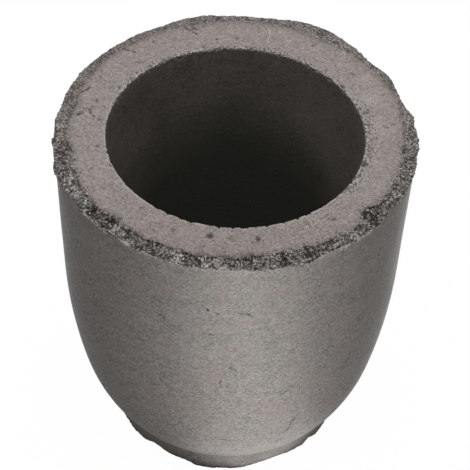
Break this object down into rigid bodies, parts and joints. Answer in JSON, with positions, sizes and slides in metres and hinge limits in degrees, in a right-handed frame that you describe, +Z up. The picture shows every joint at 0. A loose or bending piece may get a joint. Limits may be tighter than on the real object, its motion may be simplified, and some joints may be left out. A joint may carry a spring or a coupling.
{
  "type": "graphite melting crucible",
  "caption": "Thick-walled graphite melting cup with an egg-shaped wall, a low foot, a deep round bore and a crumbled outer edge at the mouth.",
  "frame": {"origin": "centre of the flat underside of the foot", "axes": "+Z up along the bore out of the mouth, -Y towards the side that the picture shows"},
  "size_m": [0.0891, 0.089, 0.0931],
  "materials": {
    "graphite": "satin"
  },
  "bodies": {
    "root": {"crucible": "graphite"}
  },
  "joints": []
}
